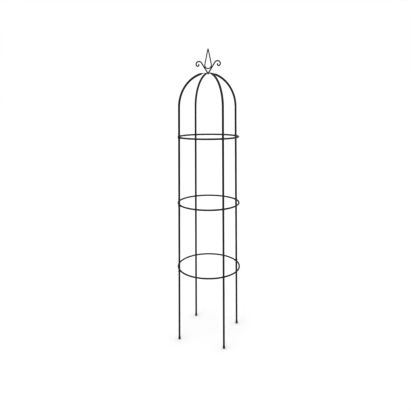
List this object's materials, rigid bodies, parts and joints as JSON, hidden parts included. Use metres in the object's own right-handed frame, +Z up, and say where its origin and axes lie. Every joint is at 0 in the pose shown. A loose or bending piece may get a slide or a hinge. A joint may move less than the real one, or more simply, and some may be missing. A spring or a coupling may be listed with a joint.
{
  "type": "garden obelisk",
  "caption": "Free-standing black tubular steel garden obelisk: round legs under two crossed bows, tied by bar hoops, under a scrolled, spear-tipped finial.",
  "frame": {"origin": "on the ground, under the apex, at the centre of the four feet", "axes": "+Z up through the apex and the finial's tip; the finial lies in the XZ plane; the front is the -Y side; the legs stand on the diagonals between X and Y"},
  "size_m": [0.4262, 0.4262, 1.8998],
  "materials": {
    "powder_coat": "satin black powder coat with a faint orange-peel texture",
    "black_zinc": "black zinc-plated fasteners, slightly glossier than the coated tube",
    "cap_plastic": "matt black moulded plastic"
  },
  "bodies": {
    "root": {"foot_cap_rear_right": "cap_plastic", "leg_lower_rear_right": "powder_coat", "leg_middle_rear_right": "powder_coat", "ring_bolt_lower_rear_right": "black_zinc", "ring_nut_lower_rear_right": "black_zinc", "ring_bolt_middle_rear_right": "black_zinc", "ring_nut_middle_rear_right": "black_zinc", "ring_bolt_upper_rear_right": "black_zinc", "ring_nut_upper_rear_right": "black_zinc", "foot_cap_rear_left": "cap_plastic", "leg_lower_rear_left": "powder_coat", "leg_middle_rear_left": "powder_coat", "ring_bolt_lower_rear_left": "black_zinc", "ring_nut_lower_rear_left": "black_zinc", "ring_bolt_middle_rear_left": "black_zinc", "ring_nut_middle_rear_left": "black_zinc", "ring_bolt_upper_rear_left": "black_zinc", "ring_nut_upper_rear_left": "black_zinc", "foot_cap_front_left": "cap_plastic", "leg_lower_front_left": "powder_coat", "leg_middle_front_left": "powder_coat", "ring_bolt_lower_front_left": "black_zinc", "ring_nut_lower_front_left": "black_zinc", "ring_bolt_middle_front_left": "black_zinc", "ring_nut_middle_front_left": "black_zinc", "ring_bolt_upper_front_left": "black_zinc", "ring_nut_upper_front_left": "black_zinc", "foot_cap_front_right": "cap_plastic", "leg_lower_front_right": "powder_coat", "leg_middle_front_right": "powder_coat", "ring_bolt_lower_front_right": "black_zinc", "ring_nut_lower_front_right": "black_zinc", "ring_bolt_middle_front_right": "black_zinc", "ring_nut_middle_front_right": "black_zinc", "ring_bolt_upper_front_right": "black_zinc", "ring_nut_upper_front_right": "black_zinc", "bow_rear_right_to_front_left": "powder_coat", "bow_rear_left_to_front_right": "powder_coat", "ring_lower": "powder_coat", "ring_middle": "powder_coat", "ring_upper": "powder_coat", "finial_scroll_right": "powder_coat", "finial_scroll_left": "powder_coat", "finial_spear": "powder_coat", "finial_base": "powder_coat", "finial_washer": "black_zinc", "finial_nut": "black_zinc"}
  },
  "joints": []
}
